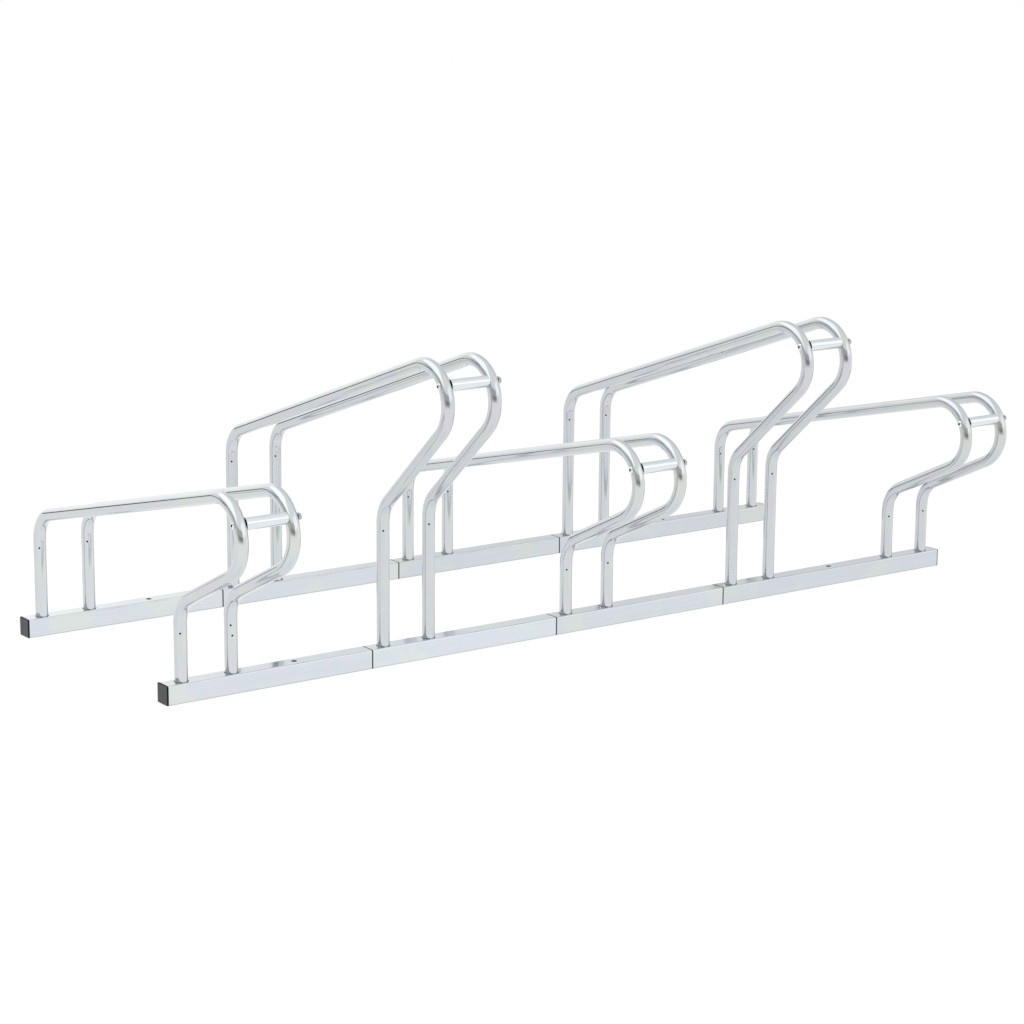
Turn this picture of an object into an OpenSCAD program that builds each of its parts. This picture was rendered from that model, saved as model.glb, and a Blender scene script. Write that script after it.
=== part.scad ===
// Floor rack for five bicycles: two square rails in butted lengths, five pairs
// of bent tube hoops, low and high in turn, and a spacer sleeve near each nose.
// X runs along the rails, the noses point to -Y, and Z = 0 is the floor.

/* [Rails] */
// Side of the square rail tube
rail_side = 30; // [28:1:38]
// Wall of the square rail tube
rail_wall = 1.5; // [1.2:0.1:2]
// Outer corner radius of the rail tube
rail_corner = 2.5; // [2.2:0.1:4]
// Length of each of the first three rail lengths, and spacing of their hoop pairs
place_pitch = 350; // [280:5:450]
// Length of the last rail length, which carries two hoop pairs
end_length = 503; // [420:1:700]
// Distance between the centre lines of the front and rear rails
rail_gap = 455; // [400:5:520]
// Open joint between two rail lengths
joint_gap = 1.4; // [0.6:0.1:2]

/* [Hoops] */
// Outer diameter of the hoop tube
tube_d = 20; // [17:0.5:21]
// Wall of the hoop tube
tube_wall = 1.5; // [1:0.1:2.2]
// Distance between the centre planes of the two hoops of a pair
hoop_gap = 83.5; // [65:0.5:110]
// From the end of a rail length to the first leg in it
leg_inset = 29; // [27:1:45]
// Radius of the nose bend, to the tube centre line
nose_r = 57; // [45:1:65]
// Radius of the other bends, to the tube centre line
bend_r = 50; // [35:1:60]

/* [Low hoops] */
// Height of the crown of a low hoop above the floor
low_top = 334; // [315:1:380]
// How far a low nose reaches in front of the front rail's centre line
low_reach = 190; // [160:1:220]
// Slope of the low top bar, rising towards the nose, in degrees
low_bar_angle = 13; // [9:0.5:16]
// Slope of the low return leg, falling from the nose, in degrees
low_return_angle = 25.5; // [20:0.5:32]

/* [High hoops] */
// Height of the crown of a high hoop above the floor
high_top = 490; // [450:1:560]
// How far a high nose reaches in front of the front rail's centre line
high_reach = 182; // [150:1:205]
// Slope of the high top bar, rising towards the nose, in degrees
high_bar_angle = 18.8; // [14:0.2:23]
// Slope of the high return leg, falling from the nose, in degrees
high_return_angle = 41.8; // [35:0.2:50]

/* [Leg fixings] */
// Gap between a leg and the edge of its hole in the rail
leg_clear = 1; // [0.5:0.1:1.2]
// Diameter of the leg screw's thread
screw_d = 6; // [5:0.5:6.5]
// Diameter of the countersunk head of the leg screw
screw_head_d = 12; // [11:0.5:13]
// Depth of the screw head below the rail's underside
screw_sink = 0.2; // [0.1:0.1:0.4]
// Length of the leg screw
screw_length = 16; // [12:1:18]
// Length of the threaded plug in each leg end
plug_length = 18; // [15:1:25]
// Diameter of the vent hole in each leg
vent_d = 3; // [2:0.5:4]
// Drop from the start of the lowest bend to the vent hole
vent_drop = 10; // [6:1:20]
// Turn of the vent hole from straight ahead, in degrees
vent_angle = 30; // [0:5:60]

/* [Spacers] */
// Outer diameter of the spacer sleeve
sleeve_d = 18; // [14:0.5:20]
// Wall of the spacer sleeve
sleeve_wall = 1.5; // [1:0.1:2.5]
// Radius of the shallow saddle that each end of the sleeve has for the hoop
saddle_r = 18; // [14:1:30]
// Depth of that saddle
saddle_depth = 1.7; // [0.5:0.1:2.5]
// Place of the spacer round a low nose bend, above its foremost point, in degrees
low_sleeve_angle = 28.5; // [15:0.5:45]
// Place of the spacer round a high nose bend, above its foremost point, in degrees
high_sleeve_angle = 33; // [15:0.5:45]
// Thread diameter of the spacer bolt
bolt_d = 6; // [5:0.5:7]
// Diameter of the round head of the spacer bolt
bolt_head_d = 10.5; // [9:0.5:12]
// Height of the low round head of the spacer bolt
bolt_head_h = 2; // [1.6:0.1:4]
// Key size of the bolt's hexagon socket
bolt_key = 4; // [3:0.5:5]
// Depth of the bolt's hexagon socket
bolt_key_depth = 1.4; // [1:0.1:2.2]
// Size of the lock nut across its flats
nut_flats = 10; // [9.5:0.5:13]
// Height of the lock nut, with its collar
nut_h = 5; // [4:0.5:8]
// Height of the round collar on the lock nut
nut_collar_h = 1.4; // [1:0.1:2.5]
// Thread showing past the lock nut
thread_past = 0.3; // [0.2:0.1:3]

/* [Joiners and caps] */
// Grip of a joiner in the rail length on its left
joiner_grip = 45; // [30:1:80]
// Joiner length past the leg hole on its right
joiner_lap = 8; // [4:1:20]
// Wall of the joiner tube
joiner_wall = 1.5; // [1:0.1:2]
// Thickness of the face plate of an end cap
cap_face = 2.5; // [1.5:0.1:4]
// Bevel round the face plate of an end cap
cap_bevel = 0.8; // [0.4:0.1:1]
// Length of the cap's hollow shank in the rail
cap_shank = 12; // [9:0.5:13]
// Wall of the cap's shank
cap_wall = 2; // [1.5:0.1:3]
// Thickness of each rib round the cap's shank
cap_rib = 1; // [0.6:0.1:1.4]
// Number of ribs round the cap's shank
cap_ribs = 3; // [1:1:3]

/* [Floor anchors] */
// Diameter of the anchor holes through each end length of the rails
anchor_d = 9; // [7:0.5:12]
// Anchor hole's distance from the left end of the first rail length
anchor_first = 220; // [180:1:240]
// Anchor hole's distance from the left end of the last rail length
anchor_last = 253; // [190:1:280]

/* [Hidden] */
// Clearance of a slide-in fit: joiner or cap shank in the rail
slide_fit = 0.2;
// Clearance of a pressed or screwed fit: plug in its leg, thread in its nut
thread_fit = 0.05;
// Clearance of the spacer bolt in the hoops, on the radius
bolt_clear = 0.25;
// Clearance of the countersunk head in its seat, on the radius
head_clear = 0.1;
// Swell of the tube's wall in the bends, on each face, against the straight runs
swell = 0.03;
// Lap of each straight run into the bends at its ends
bend_lap = 1;
// Space left between a sleeve, bolt head or nut and the hoop it clamps
touch_gap = 0.1;
// Rib height over the cap's shank, less than the slide-in fit
rib_rise = 0.15;
// Depth of the screw head's hexagon socket, and its key size
screw_key_depth = 1.8;
screw_key = 4;
// Overrun of every cut
cut = 1;
$fn = 48;

lengths = 4;
pairs = 5;
rail_inner = rail_side - 2 * rail_wall;
inner_corner = rail_corner - rail_wall;
tube_r = tube_d / 2;
bore_r = tube_r - tube_wall;
leg_bore_r = bore_r + swell;
leg_hole_d = tube_d + 2 * leg_clear;
run_length = (lengths - 1) * place_pitch + end_length;
reach = max(low_reach, high_reach);
depth = reach + rail_gap + rail_side / 2;
left_end = -run_length / 2;
front_y = reach - depth / 2;
rear_y = front_y + rail_gap;
rail_z = rail_side / 2;
joiner_side = rail_inner - 2 * slide_fit;
joiner_corner = max(inner_corner - slide_fit, slide_fit);
head_h = (screw_head_d - screw_d) / 2;
sides = ["left", "right"];
rows = ["front", "rear"];
row_y = [front_y, rear_y];

function high(pair) = pair % 2 == 0;
function length_start(i) = left_end + (i - 1) * place_pitch;
function length_end(i) = i < lengths ? length_start(i + 1) : -left_end;
function pair_start(pair) =
    pair < pairs ? length_start(pair) + leg_inset : -left_end - leg_inset - hoop_gap;
function hoop_x(pair, side) = pair_start(pair) + (side == "left" ? 0 : hoop_gap);
function pairs_in(i) = i < lengths ? [i] : [lengths, pairs];
function leg_places(i) = [for (pair = pairs_in(i), side = sides) hoop_x(pair, side)];
function anchor_places(i) =
    i == 1 ? [length_start(1) + anchor_first]
    : i == lengths ? [length_start(lengths) + anchor_last]
    : [];

// A hoop is drawn in a plane: the first coordinate runs back from the front
// rail's centre line, and the second one runs up from the floor.
function top(pair) = high(pair) ? high_top : low_top;
function nose_reach(pair) = high(pair) ? high_reach : low_reach;
function bar_angle(pair) = high(pair) ? high_bar_angle : low_bar_angle;
function return_angle(pair) = high(pair) ? high_return_angle : low_return_angle;
function sleeve_angle(pair) = high(pair) ? high_sleeve_angle : low_sleeve_angle;
function nose_centre(pair) =
    [nose_r + tube_r - nose_reach(pair), top(pair) - tube_r - nose_r];
function bar_end(pair) = nose_centre(pair) + nose_r * [sin(bar_angle(pair)), cos(bar_angle(pair))];
function return_start(pair) =
    nose_centre(pair) - nose_r * [sin(return_angle(pair)), cos(return_angle(pair))];
function rear_corner(pair) =
    [rail_gap, bar_end(pair)[1] - tan(bar_angle(pair)) * (rail_gap - bar_end(pair)[0])];
function knee(pair) =
    [0, return_start(pair)[1] + tan(return_angle(pair)) * return_start(pair)[0]];
function rear_set(pair) = bend_r * tan((90 - bar_angle(pair)) / 2);
function knee_set(pair) = bend_r * tan((90 - return_angle(pair)) / 2);
function sleeve_place(pair) =
    nose_centre(pair) + nose_r * [-cos(sleeve_angle(pair)), sin(sleeve_angle(pair))];

function numbered(name, count) = [for (i = [1:count]) str(name, "_", i)];

// Flat outline of a square with round corners
module soft_square(side, corner) {
    square([side, side - 2 * corner], center = true);
    square([side - 2 * corner, side], center = true);
    for (a = [-1, 1], b = [-1, 1])
        translate([a * (side / 2 - corner), b * (side / 2 - corner)]) circle(r = corner);
}

// Puts a flat drawing upright in the plane across the rails
module upright() {
    rotate([90, 0, 90]) children();
}

// Square tube along X from the origin
module square_tube(length, side, wall, corner, inside_corner) {
    upright() linear_extrude(length) difference() {
        soft_square(side, corner);
        soft_square(side - 2 * wall, inside_corner);
    }
}

// Cut for a leg, through the upper wall only or through both walls
module leg_cut(from_z) {
    translate([0, 0, from_z]) cylinder(h = rail_side + cut - from_z, d = leg_hole_d);
}

// Cut for a countersunk head, from below the floor up to the thread
module head_seat() {
    narrow = screw_d / 2 + head_clear;
    height = cut + screw_sink + head_h;
    translate([0, 0, -cut]) cylinder(h = height, r1 = narrow + height, r2 = narrow);
}

module rail_length(i, y) {
    start = length_start(i) + (i > 1 ? joint_gap / 2 : 0);
    end = length_end(i) - (i < lengths ? joint_gap / 2 : 0);
    color("gainsboro") difference() {
        translate([start, y, rail_z])
            square_tube(end - start, rail_side, rail_wall, rail_corner, inner_corner);
        for (x = leg_places(i)) translate([x, y, 0]) {
            leg_cut(rail_z);
            head_seat();
        }
        for (x = anchor_places(i)) translate([x, y, -cut])
            cylinder(h = rail_side + 2 * cut, d = anchor_d);
    }
}

// Inner sleeve of a joint: pressed into the left length, pinned by the leg on its right
module joiner(i, y) {
    joint = length_end(i);
    right = leg_inset + leg_hole_d / 2 + joiner_lap;
    color("silver") difference() {
        translate([joint - joiner_grip, y, rail_z])
            square_tube(joiner_grip + right, joiner_side, joiner_wall,
                joiner_corner, joiner_corner / 2);
        translate([joint + leg_inset, y, 0]) leg_cut(0);
    }
}

// Slab as thick as the cap's face plate, bevelled along two outer edges
module bevelled_slab() {
    half = rail_side / 2;
    flat = cap_face - cap_bevel;
    translate([0, 0, -rail_side]) linear_extrude(2 * rail_side) polygon([
        [0, -half], [flat, -half], [cap_face, cap_bevel - half],
        [cap_face, half - cap_bevel], [flat, half], [0, half]
    ]);
}

module cap(side, y) {
    outward = side == "left" ? -1 : 1;
    color("dimgray") translate([outward * run_length / 2, y, rail_z])
        mirror([side == "left" ? 1 : 0, 0, 0]) {
            intersection() {
                upright() linear_extrude(cap_face) soft_square(rail_side, rail_corner);
                bevelled_slab();
                rotate([90, 0, 0]) bevelled_slab();
            }
            translate([-cap_shank, 0, 0])
                square_tube(cap_shank, joiner_side, cap_wall, joiner_corner, joiner_corner / 2);
            for (k = [1:cap_ribs]) translate([-k * cap_shank / (cap_ribs + 1), 0, 0])
                square_tube(cap_rib, joiner_side + 2 * rib_rise, cap_wall,
                    joiner_corner, joiner_corner / 2);
        }
}

// Ring section of the hoop tube, with its wall thinner by the given amount on each face
module tube_ring(less) {
    difference() {
        circle(r = tube_r - less);
        circle(r = bore_r + less);
    }
}

// Straight run of tube in the hoop's plane, lapping into bends past its start and its end
module run(from, to, before, after) {
    way = to - from;
    translate([from[0], from[1], 0]) rotate([0, 0, atan2(way[1], way[0])]) rotate([0, 90, 0])
        translate([0, 0, -before]) linear_extrude(before + norm(way) + after) tube_ring(swell);
}

// Bent run of tube round a centre in the hoop's plane
module bend(centre, radius, from_angle, angle) {
    translate([centre[0], centre[1], 0]) rotate([0, 0, from_angle])
        rotate_extrude(angle = angle) translate([radius, 0]) tube_ring(0);
}

// Cut for a vent hole, from the leg's middle out through its front wall
module vent_cut(place) {
    translate([place[0], place[1], 0]) rotate([0, -90 - vent_angle, 0])
        cylinder(h = tube_r + cut, d = vent_d);
}

module bent_hoop(pair) {
    up = bar_angle(pair);
    down = return_angle(pair);
    rear = rear_corner(pair);
    front = knee(pair);
    rear_low = rear - [0, rear_set(pair)];
    rear_high = rear + rear_set(pair) * [-cos(up), sin(up)];
    knee_high = front + knee_set(pair) * [-cos(down), sin(down)];
    knee_low = front - [0, knee_set(pair)];
    difference() {
        union() {
            run([rail_gap, rail_wall], rear_low, 0, bend_lap);
            bend(rear_low - [bend_r, 0], bend_r, 0, 90 - up);
            run(rear_high, bar_end(pair), bend_lap, bend_lap);
            bend(nose_centre(pair), nose_r, 90 - up, 180 + up - down);
            run(return_start(pair), knee_high, bend_lap, bend_lap);
            bend(knee_low - [bend_r, 0], bend_r, 0, 90 - down);
            run(knee_low, [0, rail_wall], bend_lap, 0);
        }
        vent_cut(rear_low - [0, vent_drop]);
        vent_cut(knee_low - [0, vent_drop]);
        translate([sleeve_place(pair)[0], sleeve_place(pair)[1], -tube_r - cut])
            cylinder(h = tube_d + 2 * cut, r = bolt_d / 2 + bolt_clear);
    }
}

module hoop(pair, side) {
    color("silver") translate([hoop_x(pair, side), front_y, 0]) upright() bent_hoop(pair);
}

// Puts a piece that lies along X on the spacer's axis, at the left hoop's centre plane
module on_sleeve_axis(pair) {
    place = sleeve_place(pair);
    translate([hoop_x(pair, "left"), front_y + place[0], place[1]]) rotate([0, 90, 0]) children();
}

// Spacer sleeve, whose ends lap round the hoops in shallow saddles
module spacer(pair) {
    seat = tube_r + touch_gap;
    rim = seat - saddle_depth;
    color("silver") on_sleeve_axis(pair) difference() {
        translate([0, 0, rim]) cylinder(h = hoop_gap - 2 * rim, d = sleeve_d);
        translate([0, 0, rim - cut])
            cylinder(h = hoop_gap - 2 * rim + 2 * cut, d = sleeve_d - 2 * sleeve_wall);
        for (x = [seat - saddle_r, hoop_gap - seat + saddle_r]) translate([0, 0, x])
            rotate([0, 90, -sleeve_angle(pair)])
                cylinder(h = sleeve_d + 2 * cut, r = saddle_r, center = true);
    }
}

// Round-headed bolt with a hexagon socket, from the left hoop through to the nut
module spacer_bolt(pair) {
    seat = -tube_r - touch_gap;
    shank_end = hoop_gap + tube_r + touch_gap + nut_h + thread_past;
    // Radius of the ball whose cap makes the round head
    ball_r = (pow(bolt_head_d / 2, 2) + pow(bolt_head_h, 2)) / (2 * bolt_head_h);
    color("lightsteelblue") on_sleeve_axis(pair) {
        translate([0, 0, seat]) cylinder(h = shank_end - seat, d = bolt_d);
        difference() {
            intersection() {
                translate([0, 0, seat - bolt_head_h + ball_r]) sphere(r = ball_r);
                translate([0, 0, seat - bolt_head_h]) cylinder(h = bolt_head_h, d = bolt_head_d);
            }
            translate([0, 0, seat - bolt_head_h - cut])
                cylinder(h = bolt_key_depth + cut, d = bolt_key / cos(30), $fn = 6);
        }
    }
}

module lock_nut(pair) {
    color("lightsteelblue") on_sleeve_axis(pair)
        translate([0, 0, hoop_gap + tube_r + touch_gap]) difference() {
            union() {
                cylinder(h = nut_h - nut_collar_h, d = nut_flats / cos(30), $fn = 6);
                cylinder(h = nut_h, d = nut_flats - nut_collar_h / 2);
            }
            translate([0, 0, -cut]) cylinder(h = nut_h + 2 * cut, d = bolt_d + 2 * thread_fit);
        }
}

// Repeats a piece at the foot of every leg
module at_each_leg() {
    for (pair = [1:pairs], side = sides, y = row_y)
        translate([hoop_x(pair, side), y, 0]) children();
}

// Threaded plugs pressed into the ends of the legs
module leg_plugs() {
    color("darkgray") at_each_leg() difference() {
        translate([0, 0, rail_wall]) cylinder(h = plug_length, r = leg_bore_r - thread_fit);
        cylinder(h = rail_wall + plug_length + cut, d = screw_d + 2 * thread_fit);
        head_seat();
    }
}

// Countersunk screws from below, through the rail's lower wall into the plugs
module leg_screws() {
    color("lightsteelblue") at_each_leg() translate([0, 0, screw_sink]) difference() {
        union() {
            cylinder(h = head_h, d1 = screw_head_d, d2 = screw_d);
            cylinder(h = screw_length, d = screw_d);
        }
        translate([0, 0, -cut])
            cylinder(h = screw_key_depth + cut, d = screw_key / cos(30), $fn = 6);
    }
}

for (row = [0, 1], i = [1:lengths])
    rail_length(i, row_y[row]);
for (row = [0, 1], i = [1:lengths - 1])
    joiner(i, row_y[row]);
for (row = [0, 1], side = sides)
    cap(side, row_y[row]);
for (pair = [1:pairs], side = sides)
    hoop(pair, side);
for (pair = [1:pairs]) {
    spacer(pair);
    spacer_bolt(pair);
    lock_nut(pair);
}
leg_plugs();
leg_screws();
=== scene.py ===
import math

import bpy
from mathutils import Matrix, Vector


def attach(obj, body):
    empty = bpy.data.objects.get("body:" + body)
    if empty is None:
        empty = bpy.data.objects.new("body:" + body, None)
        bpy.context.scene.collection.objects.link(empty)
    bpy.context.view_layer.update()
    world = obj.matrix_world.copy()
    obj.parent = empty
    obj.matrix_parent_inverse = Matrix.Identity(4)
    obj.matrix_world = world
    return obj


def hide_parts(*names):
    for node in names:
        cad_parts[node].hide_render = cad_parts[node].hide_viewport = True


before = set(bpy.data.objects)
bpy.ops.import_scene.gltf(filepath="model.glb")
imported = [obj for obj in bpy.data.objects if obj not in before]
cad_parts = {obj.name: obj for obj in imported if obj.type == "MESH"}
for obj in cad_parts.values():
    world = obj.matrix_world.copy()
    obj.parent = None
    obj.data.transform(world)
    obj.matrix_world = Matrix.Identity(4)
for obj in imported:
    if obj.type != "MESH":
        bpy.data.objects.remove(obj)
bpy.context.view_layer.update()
scene = bpy.context.scene
print("frame loaded,", len(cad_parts), "nodes")

mm = 0.001

# The camera stands where the photo was taken from
view = {
    "place": (-2.47817, -3.31669, 1.06752),
    "right": (0.80832552, -0.58867384, 0.00854166),
    "down": (-0.11872784, -0.17720481, -0.97698626),
    "forward": (0.57663988, 0.7887088, -0.21313114),
    "lens": 90.231,
    "sensor": 36.0,
    "clip": (0.05, 100.0),
}


def makeCamera():
    data = bpy.data.cameras.new("camera")
    data.sensor_width = view["sensor"]
    data.lens = view["lens"]
    data.clip_start, data.clip_end = view["clip"]
    camera = bpy.data.objects.new("camera", data)
    scene.collection.objects.link(camera)
    axes = Matrix((view["right"], -Vector(view["down"]), -Vector(view["forward"]))).transposed()
    camera.matrix_world = Matrix.Translation(view["place"]) @ axes.to_4x4()
    scene.camera = camera


makeCamera()
scene.view_settings.view_transform = "Standard"
print("camera set")


# Adds a node to a tree, and sets or links its inputs
def addNode(tree, kind, values=None, **settings):
    node = tree.nodes.new(kind)
    for key, value in settings.items():
        setattr(node, key, value)
    for key, value in (values or {}).items():
        if isinstance(value, bpy.types.NodeSocket):
            tree.links.new(value, node.inputs[key])
        else:
            node.inputs[key].default_value = value
    return node


def calculate(tree, operation, *values):
    return addNode(tree, "ShaderNodeMath", dict(enumerate(values)), operation=operation).outputs[0]


# Maps one span of values onto another
def mapped(tree, value, fromSpan, toSpan):
    return addNode(tree, "ShaderNodeMapRange", {
        "Value": value, "From Min": fromSpan[0], "From Max": fromSpan[1],
        "To Min": toSpan[0], "To Max": toSpan[1]}).outputs["Result"]


def scaled(tree, vector, factor):
    return addNode(tree, "ShaderNodeVectorMath", {
        0: vector, "Scale": factor}, operation="SCALE").outputs["Vector"]


def exceeds(tree, value, limit):
    return addNode(tree, "FunctionNodeCompare", {
        0: value, 1: limit}, operation="GREATER_THAN").outputs[0]


def newMaterial(name):
    material = bpy.data.materials.new(name)
    material.use_nodes = True
    material.node_tree.nodes.clear()
    return material, material.node_tree


# Zinc plating: bright, a little blue, with faint tints and fine lines along the tube
zinc = {
    "blueTint": (0.610, 0.662, 0.712),
    "lilacTint": (0.641, 0.653, 0.700),
    "greenTint": (0.640, 0.684, 0.668),
    "smoothest": 0.06,
    "roughest": 0.15,
    "tintSize": 14.0,
    "tintStops": (0.40, 0.50, 0.60),
    "streaksAround": 420.0,
    "streaksAlong": 3.0,
    "streakSpan": (0.3, 0.7),
    "streakDepth": 0.035,
    "polishSpan": (0.3, 0.72),
    "lineDepth": 0.000006,
    "lineStrength": 0.5,
    # Painted shade: a rail is darker along its foot and at the rims of its cut ends
    "foot": 0.0024,
    "footShadeTone": 0.64,
    "warmth": 1.018,
    "rim": 0.0008,
    "rimShadeTone": 0.30,
    "bandCore": 0.4,
}


# Paints shade: darkens the colour from one place on an axis up to another
def paintedShadeBand(tree, colour, place, start, stop, tone):
    core = start + zinc["bandCore"] * (stop - start)
    return scaled(tree, colour, mapped(tree, place, (core, stop), (tone, 1.0)))


# A warm cast above 1 has more red and less blue
def shade(colour, tone, warm):
    return tuple(part * tone * cast for part, cast in zip(colour, (warm, 1.0, 1.0 / warm))) + (1.0,)


# The streaks follow one axis of the object, or of the unbent tube where an attribute is named.
# A rail also gives the places of its cut ends, whose rims get painted shade, as does the foot that it lies on
def zincPlate(name, space, along, tone=1.0, dull=1.0, ends=None):
    warm = 1.0 if ends else zinc["warmth"]
    material, tree = newMaterial(name)
    if space:
        place = addNode(tree, "ShaderNodeAttribute", attribute_name=space).outputs["Vector"]
    else:
        place = addNode(tree, "ShaderNodeTexCoord").outputs["Object"]
    stretch = [zinc["streaksAlong"] if axis == along else zinc["streaksAround"] for axis in "XYZ"]
    lines = addNode(tree, "ShaderNodeMapping", {"Vector": place, "Scale": stretch})
    streaks = addNode(tree, "ShaderNodeTexNoise", {
        "Vector": lines.outputs["Vector"], "Scale": 1.0, "Detail": 4.0, "Roughness": 0.6}).outputs["Fac"]
    clouds = addNode(tree, "ShaderNodeTexNoise", {
        "Vector": place, "Scale": zinc["tintSize"], "Detail": 3.0, "Roughness": 0.55, "Distortion": 0.4})
    tint = addNode(tree, "ShaderNodeValToRGB", {"Fac": clouds.outputs["Fac"]})
    ramp = tint.color_ramp
    first, middle, last = zinc["tintStops"]
    ramp.elements[0].position, ramp.elements[0].color = first, shade(zinc["greenTint"], tone, warm)
    ramp.elements[1].position, ramp.elements[1].color = last, shade(zinc["lilacTint"], tone, warm)
    ramp.elements.new(middle).color = shade(zinc["blueTint"], tone, warm)
    depth = zinc["streakDepth"]
    grey = mapped(tree, streaks, zinc["streakSpan"], (1.0 - depth, 1.0 + depth))
    colour = scaled(tree, tint.outputs["Color"], grey)
    # Painted shade along the foot where the rail lies, and at the rims of its cut ends by the joint gaps
    if ends:
        split = addNode(tree, "ShaderNodeSeparateXYZ", {0: place}).outputs
        colour = paintedShadeBand(tree, colour, split["Z"], 0.0, zinc["foot"], zinc["footShadeTone"])
        for end, inward in zip(ends, (1.0, -1.0)):
            colour = paintedShadeBand(tree, colour, split["X"], end, end + inward * zinc["rim"], zinc["rimShadeTone"])
    rough = mapped(tree, streaks, zinc["polishSpan"], (zinc["smoothest"] * dull, zinc["roughest"] * dull))
    bump = addNode(tree, "ShaderNodeBump", {
        "Height": streaks, "Strength": zinc["lineStrength"], "Distance": zinc["lineDepth"]})
    shader = addNode(tree, "ShaderNodeBsdfPrincipled", {
        "Base Color": colour, "Metallic": 1.0, "Roughness": rough, "Normal": bump.outputs["Normal"]})
    addNode(tree, "ShaderNodeOutputMaterial", {"Surface": shader.outputs["BSDF"]})
    return material


# Black plastic, scuffed, with painted light: greyer and glossier on the end faces
plastic = {
    "black": (0.004, 0.004, 0.0045, 1.0),
    "paintedEndLight": (0.041, 0.041, 0.043, 1.0),
    "endSpan": (0.75, 0.98),
    "rough": (0.34, 0.56),
    "endSheen": (0.12, 0.5),
    "endLightSpan": (0.55, 1.15),
    "markSize": 60.0,
    "grain": 900.0,
    "grainStrength": 0.35,
    "grainDepth": 0.00006,
}


def mouldedPlastic(name):
    material, tree = newMaterial(name)
    place = addNode(tree, "ShaderNodeTexCoord").outputs["Object"]
    normal = addNode(tree, "ShaderNodeNewGeometry").outputs["Normal"]
    facing = addNode(tree, "ShaderNodeSeparateXYZ", {0: normal}).outputs["X"]
    onEnd = mapped(tree, calculate(tree, "ABSOLUTE", facing), plastic["endSpan"], (0.0, 1.0))
    grain = addNode(tree, "ShaderNodeTexNoise", {
        "Vector": place, "Scale": plastic["grain"], "Detail": 3.0}).outputs["Fac"]
    marks = addNode(tree, "ShaderNodeTexNoise", {
        "Vector": place, "Scale": plastic["markSize"], "Detail": 4.0}).outputs["Fac"]
    # Painted light on the end faces, mottled by the marks
    endLight = calculate(tree, "MULTIPLY", mapped(tree, marks, (0.0, 1.0), plastic["endLightSpan"]), onEnd)
    colour = addNode(tree, "ShaderNodeMix", {
        "Factor": endLight, "A": plastic["black"], "B": plastic["paintedEndLight"]}, data_type="RGBA")
    bump = addNode(tree, "ShaderNodeBump", {
        "Height": grain, "Strength": plastic["grainStrength"], "Distance": plastic["grainDepth"]})
    shader = addNode(tree, "ShaderNodeBsdfPrincipled", {
        "Base Color": colour.outputs["Result"], "Roughness": mapped(tree, marks, (0.0, 1.0), plastic["rough"]),
        "Specular IOR Level": mapped(tree, onEnd, (0.0, 1.0), plastic["endSheen"]),
        "Normal": bump.outputs["Normal"]})
    addNode(tree, "ShaderNodeOutputMaterial", {"Surface": shader.outputs["BSDF"]})
    return material


# Pieces differ a little in tone, with light and shade painted in too: hoops and rails grow darker towards +X and
# the rear rails are darker, as painted shade; sleeves and bolts are lighter, as painted light; nuts are darker,
# as painted shade; insides and vents are very dark, as painted shade
toneAndShade = {
    "hoop": (1.0, 0.96, 0.97, 0.94, 0.93),
    "frontRail": (1.06, 1.09, 1.02, 0.98),
    "rearRail": (1.06, 1.03, 0.97, 0.96),
    "sleeve": 1.17,
    "bolt": 1.30,
    "nut": 0.72,
    "inside": 0.09,
    "vent": 0.22,
}
# The inside and vent finishes are dark zinc: painted shade for bores, holes, cut ends and hidden pieces
finish = {
    "hoop": [zincPlate(f"hoopZinc{i + 1}", "tubeSpace", "Z", tone) for i, tone in enumerate(toneAndShade["hoop"])],
    "sleeve": zincPlate("sleeveLitZinc", "tubeSpace", "Z", toneAndShade["sleeve"]),
    "bolt": zincPlate("boltLitZinc", None, "X", toneAndShade["bolt"], dull=2.6),
    "nut": zincPlate("nutShadedZinc", None, "X", toneAndShade["nut"], dull=2.0),
    "inside": zincPlate("insideShadeZinc", None, "X", toneAndShade["inside"], dull=3.0),
    "vent": zincPlate("ventShadeZinc", None, "X", toneAndShade["vent"], dull=3.0),
    "cap": mouldedPlastic("capPlastic"),
}
print("materials made")

# Sizes shared by the pieces, in millimetres, from the frame
rack = {
    "rail": 30.0,
    "railWall": 1.5,
    "railCorner": 2.5,
    "railGap": 455.0,
    "frontY": -140.0,
    "lengthStarts": (-776.5, -426.5, -76.5, 273.5),
    "rightEnd": 776.5,
    "jointGap": 1.4,
    "pairX": (-747.5, -397.5, -47.5, 302.5, 664.0),
    "hoopGap": 83.5,
    "tube": 20.0,
    "tubeWall": 1.5,
}
rows = {"front": rack["frontY"], "rear": rack["frontY"] + rack["railGap"]}


# An empty tree for a modifier, with its inputs
def startTree(name, inputs):
    tree = bpy.data.node_groups.new(name, "GeometryNodeTree")
    tree.interface.new_socket("Geometry", in_out="INPUT", socket_type="NodeSocketGeometry")
    for label, kind, default in inputs:
        socket = tree.interface.new_socket(label, in_out="INPUT", socket_type="NodeSocket" + kind)
        if default is not None:
            socket.default_value = default
    tree.interface.new_socket("Geometry", in_out="OUTPUT", socket_type="NodeSocketGeometry")
    tree.is_modifier = True
    return tree, addNode(tree, "NodeGroupInput").outputs


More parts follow.
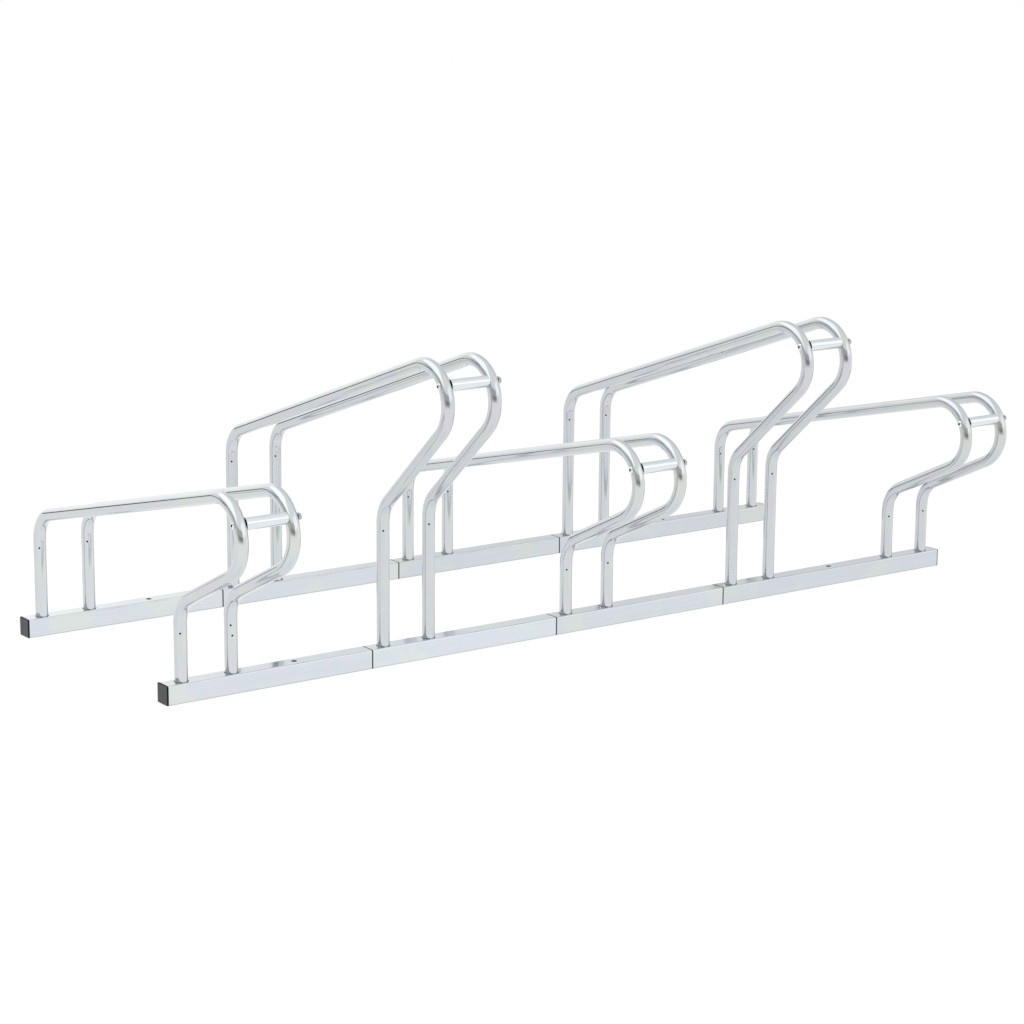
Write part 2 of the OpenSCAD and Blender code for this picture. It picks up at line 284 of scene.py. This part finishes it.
# Moves both ends of a curve outwards, for a clean cut
def longer(tree, curve, overrun):
    tangent = addNode(tree, "GeometryNodeInputTangent").outputs["Tangent"]
    for ends, sign in (((1, 0), -1.0), ((0, 1), 1.0)):
        atEnd = addNode(tree, "GeometryNodeCurveEndpointSelection", {
            "Start Size": ends[0], "End Size": ends[1]}).outputs[0]
        step = scaled(tree, tangent, calculate(tree, "MULTIPLY", overrun, sign))
        curve = addNode(tree, "GeometryNodeSetPosition", {
            "Geometry": curve, "Selection": atEnd, "Offset": step}).outputs[0]
    return curve


def painted(tree, geometry, material, **more):
    return addNode(tree, "GeometryNodeSetMaterial", {
        "Geometry": geometry, "Material": material, **more}).outputs[0]


fineness = {"cornerSteps": 7, "drillSides": 48, "sharpAngle": 32.0, "endFacing": 0.9}
drillFacts = {"isDrill": "BOOLEAN", "drillWay": "FLOAT_VECTOR", "drillSize": "FLOAT_VECTOR", "drillTool": "INT"}


# Sweeps a tube along the edges of a mesh and drills it at the mesh's loose points
def tubeTree(name, square):
    inputs = [("Outer Size", "Float", 0.02), ("Wall", "Float", 0.0015), ("Overrun", "Float", 0.003),
              ("Seat Wide", "Float", 0.0062), ("Seat Narrow", "Float", 0.0031), ("Seat Height", "Float", 0.0032),
              ("Finish", "Material", None), ("Inside", "Material", None)]
    inputs.append(("Corner Radius", "Float", 0.0025) if square else ("Sides", "Int", 48))
    tree, given = startTree(name, inputs)
    named = {label: addNode(tree, "GeometryNodeInputNamedAttribute", {"Name": label}, data_type=kind).outputs[0]
             for label, kind in drillFacts.items()}
    parts = addNode(tree, "GeometryNodeSeparateGeometry", {
        "Geometry": given["Geometry"], "Selection": named["isDrill"]}, domain="POINT")
    path = addNode(tree, "GeometryNodeMeshToCurve", {"Mesh": parts.outputs["Inverted"]}).outputs["Curve"]
    along = addNode(tree, "GeometryNodeSplineParameter").outputs["Length"]
    held = addNode(tree, "GeometryNodeCaptureAttribute", {"Geometry": path}, domain="POINT")
    held.capture_items.new("FLOAT", "along")
    tree.links.new(along, held.inputs["along"])

    def swept(size, corner, curve):
        if square:
            outline = addNode(tree, "GeometryNodeCurvePrimitiveQuadrilateral", {"Width": size, "Height": size})
            outline = addNode(tree, "GeometryNodeFilletCurve", {
                "Curve": outline.outputs["Curve"], "Radius": corner, "Count": fineness["cornerSteps"]},
                mode="POLY").outputs["Curve"]
        else:
            radius = calculate(tree, "MULTIPLY", size, 0.5)
            outline = addNode(tree, "GeometryNodeCurvePrimitiveCircle", {
                "Resolution": given["Sides"], "Radius": radius}).outputs["Curve"]
        kept = addNode(tree, "GeometryNodeCaptureAttribute", {"Geometry": outline}, domain="POINT")
        kept.capture_items.new("VECTOR", "around")
        tree.links.new(addNode(tree, "GeometryNodeInputPosition").outputs[0], kept.inputs["around"])
        solid = addNode(tree, "GeometryNodeCurveToMesh", {
            "Curve": curve, "Profile Curve": kept.outputs["Geometry"], "Fill Caps": True}).outputs["Mesh"]
        flat = addNode(tree, "ShaderNodeSeparateXYZ", {0: kept.outputs["around"]})
        place = addNode(tree, "ShaderNodeCombineXYZ", {
            "X": flat.outputs["X"], "Y": flat.outputs["Y"], "Z": held.outputs["along"]})
        return addNode(tree, "GeometryNodeStoreNamedAttribute", {
            "Geometry": solid, "Name": "tubeSpace", "Value": place.outputs["Vector"]},
            data_type="FLOAT_VECTOR", domain="POINT").outputs["Geometry"]

    bothWalls = calculate(tree, "MULTIPLY", given["Wall"], 2.0)
    bore = calculate(tree, "SUBTRACT", given["Outer Size"], bothWalls)
    corner = innerCorner = None
    if square:
        corner = given["Corner Radius"]
        innerCorner = calculate(tree, "SUBTRACT", corner, given["Wall"])
    outer = swept(given["Outer Size"], corner, held.outputs["Geometry"])
    # A square tube's cut end faces get the dark inside finish too: painted shade in the joint gaps
    if square:
        normal = addNode(tree, "GeometryNodeInputNormal").outputs[0]
        facing = addNode(tree, "ShaderNodeSeparateXYZ", {0: normal}).outputs["X"]
        isEnd = exceeds(tree, calculate(tree, "ABSOLUTE", facing), fineness["endFacing"])
        outer = painted(tree, outer, given["Inside"], Selection=isEnd)
    inner = swept(bore, innerCorner, longer(tree, held.outputs["Geometry"], given["Overrun"]))
    inner = painted(tree, inner, given["Inside"])

    # Drills: a unit cylinder scaled at each loose point, or a cone where a screw head sits
    rod = addNode(tree, "GeometryNodeMeshCylinder", {
        "Vertices": fineness["drillSides"], "Radius": 1.0, "Depth": 1.0})
    seat = addNode(tree, "GeometryNodeMeshCone", {
        "Vertices": fineness["drillSides"], "Radius Top": given["Seat Narrow"],
        "Radius Bottom": given["Seat Wide"], "Depth": given["Seat Height"]})
    tools = addNode(tree, "GeometryNodeGeometryToInstance")
    for tool in (seat, rod):
        tree.links.new(tool.outputs["Mesh"], tools.inputs[0])
    turn = addNode(tree, "FunctionNodeAlignRotationToVector", {"Vector": named["drillWay"]}, axis="Z")
    points = addNode(tree, "GeometryNodeMeshToPoints", {"Mesh": parts.outputs["Selection"]})
    drills = addNode(tree, "GeometryNodeInstanceOnPoints", {
        "Points": points.outputs["Points"], "Instance": tools.outputs[0], "Pick Instance": True,
        "Instance Index": named["drillTool"], "Rotation": turn.outputs["Rotation"],
        "Scale": named["drillSize"]})
    cuts = addNode(tree, "GeometryNodeRealizeInstances", {"Geometry": drills.outputs["Instances"]}).outputs[0]
    cuts = painted(tree, cuts, given["Inside"])
    cut = addNode(tree, "GeometryNodeMeshBoolean", {"Mesh 1": outer}, operation="DIFFERENCE", solver="EXACT")
    tree.links.new(cuts, cut.inputs["Mesh 2"])
    tree.links.new(inner, cut.inputs["Mesh 2"])

    # Smooth faces, with sharp edges where the surface turns
    angle = addNode(tree, "GeometryNodeInputMeshEdgeAngle").outputs["Unsigned Angle"]
    isSharp = exceeds(tree, angle, math.radians(fineness["sharpAngle"]))
    smooth = addNode(tree, "GeometryNodeSetShadeSmooth", {
        "Geometry": cut.outputs["Mesh"], "Shade Smooth": True}, domain="FACE").outputs[0]
    smooth = addNode(tree, "GeometryNodeSetShadeSmooth", {
        "Geometry": smooth, "Selection": isSharp, "Shade Smooth": False}, domain="EDGE").outputs[0]

    # Cut ends, bores and holes keep the dark inside finish, which is painted shade
    real = addNode(tree, "GeometryNodeRealizeInstances", {"Geometry": smooth}).outputs[0]
    isCut = addNode(tree, "GeometryNodeMaterialSelection", {"Material": given["Inside"]}).outputs[0]
    isSkin = addNode(tree, "FunctionNodeBooleanMath", {0: isCut}, operation="NOT").outputs[0]
    addNode(tree, "NodeGroupOutput", {"Geometry": painted(tree, real, given["Finish"], Selection=isSkin)})
    return tree


# A mesh of one open line and one loose point for each drill
def routeMesh(name, path, drills):
    points = [Vector(p) * mm for p in path] + [Vector(d["at"]) * mm for d in drills]
    mesh = bpy.data.meshes.new(name + "Route")
    mesh.from_pydata(points, [(i, i + 1) for i in range(len(path) - 1)], [])
    for label, kind in drillFacts.items():
        mesh.attributes.new(label, kind, "POINT")
    facts = mesh.attributes
    for n, drill in enumerate(drills, len(path)):
        seat = drill.get("seat", False)
        facts["isDrill"].data[n].value = True
        facts["drillWay"].data[n].vector = drill["way"]
        size = (1, 1, 1) if seat else (drill["r"] * mm, drill["r"] * mm, drill["long"] * mm)
        facts["drillSize"].data[n].vector = size
        facts["drillTool"].data[n].value = 1 if seat else 0
    return mesh


# Runs the tree on the mesh, keeps the result as a plain mesh and puts it on the rack
def buildPiece(name, node, mesh, tree, values):
    host = bpy.data.objects.new(name, mesh)
    scene.collection.objects.link(host)
    modifier = host.modifiers.new("build", "NODES")
    modifier.node_group = tree
    for item in tree.interface.items_tree:
        if item.in_out == "INPUT" and item.name in values:
            modifier[item.identifier] = values[item.name]
    host.modifiers.new("normals", "WEIGHTED_NORMAL").keep_sharp = True
    depsgraph = bpy.context.evaluated_depsgraph_get()
    result = bpy.data.meshes.new_from_object(host.evaluated_get(depsgraph), depsgraph=depsgraph)
    result.name = name
    host.modifiers.clear()
    host.data = result
    bpy.data.meshes.remove(mesh)
    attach(host, "root")
    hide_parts(node)


roundTube = tubeTree("roundTube", False)
squareTube = tubeTree("squareTube", True)

# Hoops, drawn in their plane: back from the front rail's centre line, and up
hoop = {
    "foot": 1.5,
    "noseR": 57.0,
    "bendR": 50.0,
    "step": 3.0,
    "low": {"top": 334.0, "reach": 190.0, "barAngle": 13.0, "returnAngle": 25.5, "sleeveAngle": 28.5},
    "high": {"top": 490.0, "reach": 182.0, "barAngle": 18.8, "returnAngle": 41.8, "sleeveAngle": 33.0},
    "ventR": 1.5,
    "ventDrop": 10.0,
    "ventAngle": 30.0,
    "secondVent": {"drop": 15.6, "angle": 17.0},
    "drain": {"back": 123.0, "r": 1.25},
    "boltHoleR": 3.25,
    "wallDrill": {"out": 9.0, "long": 8.0},
    "throughDrill": 30.0,
    "sides": 56,
}


def arcPoints(centre, radius, start, end):
    count = max(2, math.ceil(abs(end - start) / hoop["step"]))
    angles = [math.radians(start + (end - start) * i / count) for i in range(count + 1)]
    return [(centre[0] + radius * math.cos(a), centre[1] + radius * math.sin(a)) for a in angles]


def hoopShape(kind):
    size = hoop[kind]
    up, down = size["barAngle"], size["returnAngle"]
    sinUp, cosUp = math.sin(math.radians(up)), math.cos(math.radians(up))
    sinDown, cosDown = math.sin(math.radians(down)), math.cos(math.radians(down))
    tubeR, noseR, bendR = rack["tube"] / 2, hoop["noseR"], hoop["bendR"]
    nose = (noseR + tubeR - size["reach"], size["top"] - tubeR - noseR)
    barEnd = (nose[0] + noseR * sinUp, nose[1] + noseR * cosUp)
    returnStart = (nose[0] - noseR * sinDown, nose[1] - noseR * cosDown)
    rearZ = barEnd[1] - sinUp / cosUp * (rack["railGap"] - barEnd[0])
    kneeZ = returnStart[1] + sinDown / cosDown * returnStart[0]
    rearLow = rearZ - bendR * math.tan(math.radians((90 - up) / 2))
    kneeLow = kneeZ - bendR * math.tan(math.radians((90 - down) / 2))
    path = [(rack["railGap"], hoop["foot"])]
    path += arcPoints((rack["railGap"] - bendR, rearLow), bendR, 0, 90 - up)
    path += arcPoints(nose, noseR, 90 - up, 270 - down)
    path += arcPoints((-bendR, kneeLow), bendR, 90 - down, 0)
    path.append((0, hoop["foot"]))
    turn = math.radians(size["sleeveAngle"])
    sleeve = (nose[0] - noseR * math.cos(turn), nose[1] + noseR * math.sin(turn))
    drain = (hoop["drain"]["back"], rearZ + sinUp / cosUp * (rack["railGap"] - hoop["drain"]["back"]))
    return {"path": path, "rearVent": rearLow - hoop["ventDrop"], "kneeVent": kneeLow - hoop["ventDrop"],
            "sleeve": sleeve, "sleeveWay": (0, math.sin(turn), math.cos(turn)), "drain": drain}


shapes = {kind: hoopShape(kind) for kind in ("low", "high")}


# Low and high pairs take turns
def shapeOf(pair):
    return shapes["high" if pair % 2 else "low"]


def onRack(x, point):
    return (x, rack["frontY"] + point[0], point[1])


def ventDrill(x, point, angle):
    turn = math.radians(angle)
    outwards = Vector((-math.sin(turn), -math.cos(turn), 0))
    drill = hoop["wallDrill"]
    place = Vector(onRack(x, point)) + outwards * drill["out"]
    return {"at": place, "way": outwards, "r": hoop["ventR"], "long": drill["long"]}


def makeHoops():
    for i, pairX in enumerate(rack["pairX"]):
        shape = shapeOf(i)
        for side in ("left", "right"):
            x = pairX + (rack["hoopGap"] if side == "right" else 0.0)
            drills = [ventDrill(x, (rack["railGap"], shape["rearVent"]), hoop["ventAngle"]),
                      ventDrill(x, (0.0, shape["kneeVent"]), hoop["ventAngle"])]
            if (side, i) == ("right", 0):  # one leg has a second hole
                second = (0.0, shape["kneeVent"] - hoop["secondVent"]["drop"])
                drills.append(ventDrill(x, second, hoop["secondVent"]["angle"]))
            if (side, i) == ("right", 3):  # and one bar a hole in its side
                drill = hoop["wallDrill"]
                drills.append({"at": onRack(x - drill["out"], shape["drain"]), "way": (1, 0, 0),
                               "r": hoop["drain"]["r"], "long": drill["long"]})
            drills.append({"at": onRack(x, shape["sleeve"]), "way": (1, 0, 0),
                           "r": hoop["boltHoleR"], "long": hoop["throughDrill"]})
            name = f"{side}Hoop{i + 1}"
            mesh = routeMesh(name, [onRack(x, p) for p in shape["path"]], drills)
            buildPiece(name, f"{side}_hoop_{i + 1}", mesh, roundTube, {
                "Outer Size": rack["tube"] * mm, "Wall": rack["tubeWall"] * mm,
                "Sides": hoop["sides"], "Finish": finish["hoop"][i], "Inside": finish["vent"]})


makeHoops()
print("hoops bent and drilled")

# Spacer sleeves, whose saddled ends seat on the hoops
sleeve = {
    "tube": 18.0,
    "wall": 1.5,
    "gap": 0.1,
    "saddleR": 18.0,
    "saddleDepth": 1.7,
    "saddleDrill": 30.0,
    "sides": 56,
}


def makeSleeves():
    seat = rack["tube"] / 2 + sleeve["gap"]
    rim = seat - sleeve["saddleDepth"]
    for i, pairX in enumerate(rack["pairX"]):
        shape = shapeOf(i)
        right = pairX + rack["hoopGap"]
        ends = [onRack(pairX + rim, shape["sleeve"]), onRack(right - rim, shape["sleeve"])]
        drills = [{"at": onRack(x, shape["sleeve"]), "way": shape["sleeveWay"],
                   "r": sleeve["saddleR"], "long": sleeve["saddleDrill"]}
                  for x in (pairX + seat - sleeve["saddleR"], right - seat + sleeve["saddleR"])]
        name = f"spacer{i + 1}"
        buildPiece(name, f"spacer_{i + 1}", routeMesh(name, ends, drills), roundTube, {
            "Outer Size": sleeve["tube"] * mm, "Wall": sleeve["wall"] * mm,
            "Sides": sleeve["sides"], "Finish": finish["sleeve"], "Inside": finish["inside"]})


makeSleeves()
print("spacer sleeves made")

# Rails, with a leg hole above and a screw seat below each leg, and anchor holes in two lengths
rail = {
    "legHoleR": 11.0,
    "legDrill": 10.0,
    "seatWide": 6.3,
    "seatNarrow": 3.1,
    "seatHeight": 3.2,
    "seatSink": 0.001,
    "anchorR": 4.5,
    "anchorDrill": 40.0,
    "anchors": {0: 220.0, 3: 253.0},
    "beyond": 1000.0,
}


def makeRails():
    starts, middle, upwards = rack["lengthStarts"], rack["rail"] / 2, (0, 0, 1)
    legs = [x + step for x in rack["pairX"] for step in (0.0, rack["hoopGap"])]
    for row, y in rows.items():
        for i, start in enumerate(starts):
            isFirst, isLast = i == 0, i == len(starts) - 1
            left = start if isFirst else start + rack["jointGap"] / 2
            right = rack["rightEnd"] if isLast else starts[i + 1] - rack["jointGap"] / 2
            drills = []
            for x in legs:
                if left < x < right:
                    drills.append({"at": (x, y, rack["rail"]), "way": upwards,
                                   "r": rail["legHoleR"], "long": rail["legDrill"]})
                    drills.append({"at": (x, y, -rail["seatSink"]), "way": upwards, "seat": True})
            if i in rail["anchors"]:
                drills.append({"at": (start + rail["anchors"][i], y, middle), "way": upwards,
                               "r": rail["anchorR"], "long": rail["anchorDrill"]})
            name = f"{row}Rail{i + 1}"
            # The outermost ends have caps, so the painted shade at their rims lies beyond the rack
            cutEnds = (-rail["beyond"] if isFirst else left, rail["beyond"] if isLast else right)
            plated = zincPlate(f"{row}Zinc{i + 1}", None, "X", toneAndShade[row + "Rail"][i],
                               ends=[place * mm for place in cutEnds])
            mesh = routeMesh(name, [(left, y, middle), (right, y, middle)], drills)
            buildPiece(name, f"{row}_rail_{i + 1}", mesh, squareTube, {
                "Outer Size": rack["rail"] * mm, "Wall": rack["railWall"] * mm,
                "Corner Radius": rack["railCorner"] * mm, "Seat Wide": rail["seatWide"] * mm,
                "Seat Narrow": rail["seatNarrow"] * mm, "Seat Height": rail["seatHeight"] * mm,
                "Finish": plated, "Inside": finish["inside"]})


makeRails()
print("rails drilled")


def dressNode(node, material):
    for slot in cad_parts[node].material_slots:
        slot.material = material


bolt = {"socketR": 2.32, "socketDepth": 1.45}


# Paints shade into a spacer bolt's key socket: its faces get the dark inside finish
def paintSocketShade(node, point):
    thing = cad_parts[node]
    thing.data.materials.append(finish["inside"])
    middle = Vector(onRack(0.0, point)) * mm
    places = [thing.matrix_world @ vertex.co for vertex in thing.data.vertices]
    deepest = min(place.x for place in places) + bolt["socketDepth"] * mm
    for face in thing.data.polygons:
        corners = [places[v] for v in face.vertices]
        if all((c - middle).yz.length < bolt["socketR"] * mm and c.x < deepest for c in corners):
            face.material_index = len(thing.data.materials) - 1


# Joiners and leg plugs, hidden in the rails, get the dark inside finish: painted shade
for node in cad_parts:
    if "joiner" in node or node == "leg_plugs":
        dressNode(node, finish["inside"])
    elif "nut" in node:
        dressNode(node, finish["nut"])
    elif node == "leg_screws" or "bolt" in node:
        dressNode(node, finish["bolt"])
    elif "cap" in node:
        dressNode(node, finish["cap"])
for i in range(len(rack["pairX"])):
    paintSocketShade(f"spacer_bolt_{i + 1}", shapeOf(i)["sleeve"])
print("small pieces dressed")

# Studio: a white round floor and white surroundings. The metal mirrors patches of the room as well, each
# with its middle and half width in degrees round from +X, its lowest and highest place in degrees above
# the horizon, the softness of its edges, and its level against the plain white. A slope leans a patch
studio = {
    "floorRadius": 2.0,
    "floorSides": 96,
    "floorDrop": 0.0002,
    "paint": (0.88, 0.88, 0.88, 1.0),
    "glow": 1.02,
    "shadow": 0.12,
    "level": 0.95,
    "lampTarget": (0, 0, 0.15),
}
patches = [
    {"name": "floor", "turn": -60, "half": 150, "low": -66, "high": -9, "soft": (14, 4), "level": 1.06},
    {"name": "overhead", "turn": -36, "half": 98, "low": 56, "high": 99, "soft": (10, 6), "level": 1.0},
    {"name": "lit ceiling", "turn": 150, "half": 66, "low": 33, "high": 99, "soft": (10, 4), "level": 1.50},
    {"name": "back wall", "turn": 84, "half": 22, "low": 5, "high": 40, "soft": (7, 5), "level": 1.18},
    {"name": "far corner", "turn": 24, "half": 34, "low": -22, "high": 56, "soft": (8, 8), "level": 0.84},
    {"name": "lit front", "turn": -62, "half": 33, "low": 8.5, "high": 37, "soft": (8, 5), "level": 1.32},
    {"name": "floor on the left", "turn": 142, "half": 36, "low": -36, "high": -4, "soft": (12, 3), "level": 1.0},
    {"name": "floor ahead", "turn": -16, "half": 22, "low": -14, "high": 7, "soft": (8, 3), "level": 1.12},
    {"name": "straight down", "turn": 0, "half": 190, "low": -99, "high": -62, "soft": (1, 10), "level": 1.0},
    {"name": "left wall", "turn": 158, "half": 30, "low": -4, "high": 29, "soft": (4, 2), "level": 0.73},
    {"name": "left wall's foot", "turn": 158, "half": 30, "low": -4, "high": 4, "soft": (4, 2), "level": 0.83},
    {"name": "left wall's top", "turn": 178, "half": 16, "low": 26, "high": 36, "soft": (5, 2), "level": 0.68},
    {"name": "dark line", "turn": 164, "half": 22, "low": 16.5, "high": 22, "soft": (4, 1.5), "level": 0.30},
    {"name": "dark line, slanting", "turn": 127, "half": 2.8, "low": 2, "high": 20, "soft": (2, 2), "level": 0.15,
     "slope": 1.0},
    {"name": "low dark strip", "turn": 117, "half": 15, "low": 0.5, "high": 6.5, "soft": (5, 1.5), "level": 0.10},
    {"name": "open room", "turn": 226, "half": 40, "low": -6, "high": 22, "soft": (6, 3), "level": 0.52},
    {"name": "room's darkest part", "turn": 235, "half": 30, "low": -2, "high": 7, "soft": (6, 2), "level": 0.30},
]


def makeFloor():
    mesh = bpy.data.meshes.new("floor")
    turns = [math.tau * i / studio["floorSides"] for i in range(studio["floorSides"])]
    rim = [(studio["floorRadius"] * math.cos(t), studio["floorRadius"] * math.sin(t), -studio["floorDrop"])
           for t in turns]
    mesh.from_pydata(rim, [], [tuple(range(len(rim)))])
    floor = bpy.data.objects.new("floor", mesh)
    scene.collection.objects.link(floor)
    material, tree = newMaterial("floorPaint")
    rays = addNode(tree, "ShaderNodeLightPath").outputs
    paint = addNode(tree, "ShaderNodeBsdfDiffuse", {"Color": studio["paint"]})
    glow = addNode(tree, "ShaderNodeEmission", {"Color": (1, 1, 1, 1), "Strength": studio["glow"]})
    shadowed = addNode(tree, "ShaderNodeMixShader", {0: studio["shadow"]})
    tree.links.new(glow.outputs[0], shadowed.inputs[1])
    tree.links.new(paint.outputs[0], shadowed.inputs[2])
    seen = calculate(tree, "MAXIMUM", rays["Is Camera Ray"], rays["Is Glossy Ray"])
    seen = calculate(tree, "MAXIMUM", seen, rays["Is Transmission Ray"])
    mixed = addNode(tree, "ShaderNodeMixShader", {0: seen})
    tree.links.new(paint.outputs[0], mixed.inputs[1])
    tree.links.new(shadowed.outputs[0], mixed.inputs[2])
    addNode(tree, "ShaderNodeOutputMaterial", {"Surface": mixed.outputs[0]})
    mesh.materials.append(material)
    floor.visible_glossy = False


# Goes from 0 outside a span to 1 inside it, across its soft edges
def within(tree, value, middle, half, soft):
    away = calculate(tree, "ABSOLUTE", calculate(tree, "SUBTRACT", value, middle))
    return addNode(tree, "ShaderNodeMapRange", {
        "Value": away, "From Min": half + soft, "From Max": half - soft},
        interpolation_type="SMOOTHSTEP").outputs[0]


def insidePatch(tree, turn, up, patch):
    middle, half = (patch["low"] + patch["high"]) / 2, (patch["high"] - patch["low"]) / 2
    leaning = calculate(tree, "MULTIPLY_ADD", up, -patch.get("slope", 0.0), -patch["turn"])
    leaning = calculate(tree, "WRAP", calculate(tree, "ADD", turn, leaning), 180.0, -180.0)
    across = within(tree, leaning, 0.0, patch["half"], patch["soft"][0])
    return calculate(tree, "MULTIPLY", across, within(tree, up, middle, half, patch["soft"][1]))


def makeWorld():
    world = bpy.data.worlds.new("studio")
    world.use_nodes = True
    tree = world.node_tree
    tree.nodes.clear()
    way = addNode(tree, "ShaderNodeSeparateXYZ", {
        0: addNode(tree, "ShaderNodeTexCoord").outputs["Generated"]}).outputs
    turn = calculate(tree, "DEGREES", calculate(tree, "ARCTAN2", way["Y"], way["X"]))
    up = calculate(tree, "DEGREES", calculate(tree, "ARCSINE", way["Z"]))
    mirrored = 1.0
    for patch in patches:
        mirrored = addNode(tree, "ShaderNodeMix", {
            "Factor": insidePatch(tree, turn, up, patch), "A": mirrored, "B": patch["level"]},
            data_type="FLOAT", label=patch["name"]).outputs["Result"]
    rays = addNode(tree, "ShaderNodeLightPath").outputs
    level = addNode(tree, "ShaderNodeMix", {
        "Factor": rays["Is Glossy Ray"], "A": studio["level"], "B": mirrored}, data_type="FLOAT")
    shown = calculate(tree, "MAXIMUM", rays["Is Camera Ray"], rays["Is Transmission Ray"])
    level = addNode(tree, "ShaderNodeMix", {
        "Factor": shown, "A": level.outputs["Result"], "B": 1.0}, data_type="FLOAT")
    light = addNode(tree, "ShaderNodeBackground", {"Color": (1, 1, 1, 1), "Strength": level.outputs["Result"]})
    addNode(tree, "ShaderNodeOutputWorld", {"Surface": light.outputs[0]})
    scene.world = world


lamps = [
    {"name": "overheadLamp", "at": (-0.5, 0.2, 2.5), "size": (3.2, 2.6), "watts": 36.0},
    {"name": "rightLamp", "at": (2.0, -2.6, 1.45), "size": (1.8, 1.5), "watts": 12.0},
]


def makeLamps():
    target = Vector(studio["lampTarget"])
    for lamp in lamps:
        data = bpy.data.lights.new(lamp["name"], "AREA")
        data.shape = "RECTANGLE"
        data.size, data.size_y = lamp["size"]
        data.energy = lamp["watts"]
        thing = bpy.data.objects.new(lamp["name"], data)
        thing.location = lamp["at"]
        thing.visible_glossy = False
        thing.rotation_euler = (target - Vector(lamp["at"])).to_track_quat("-Z", "Y").to_euler()
        scene.collection.objects.link(thing)


makeFloor()
makeWorld()
makeLamps()
print("studio lit")
